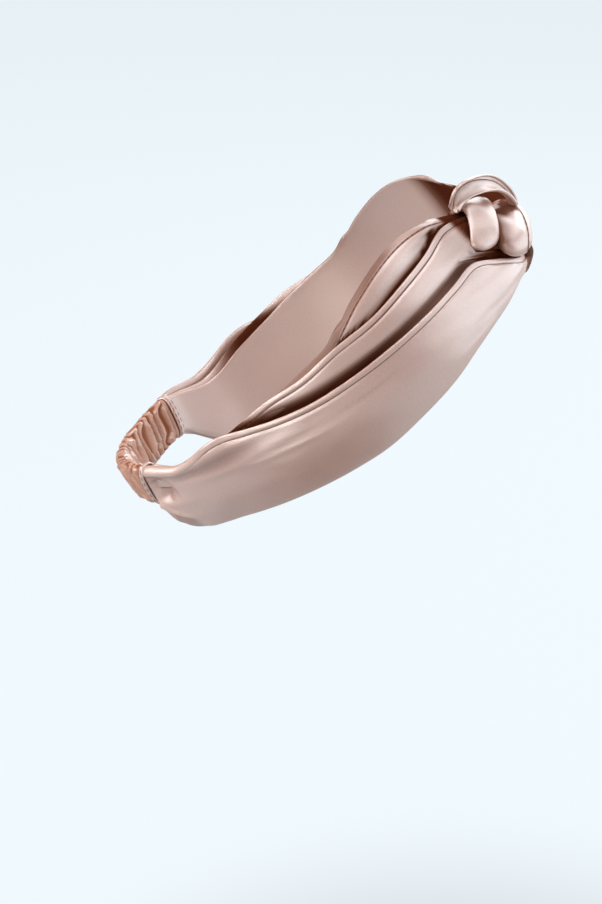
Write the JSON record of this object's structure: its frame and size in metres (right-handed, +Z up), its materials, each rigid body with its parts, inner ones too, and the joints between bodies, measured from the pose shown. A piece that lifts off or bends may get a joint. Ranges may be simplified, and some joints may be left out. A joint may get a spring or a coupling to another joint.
{
  "type": "pleated headband",
  "caption": "Wide pleated satin headband with a knot at the front and a ruched elastic casing at the back, worn tilted round the head.",
  "frame": {"origin": "centre of the tilted ring that sits on the head", "axes": "+Z up the wearer's head, the knot faces -Y, the wearer's right side is -X"},
  "size_m": [0.1722, 0.1918, 0.1552],
  "materials": {
    "satin": "satin, rose pink",
    "ruched_satin": "satin, ruched, a deeper rose pink"
  },
  "bodies": {
    "root": {"band_right": "satin", "band_left": "satin", "knot_wrap": "satin", "knot_loop": "satin", "elastic_casing": "ruched_satin", "seam_right": "satin", "seam_left": "satin"}
  },
  "joints": []
}
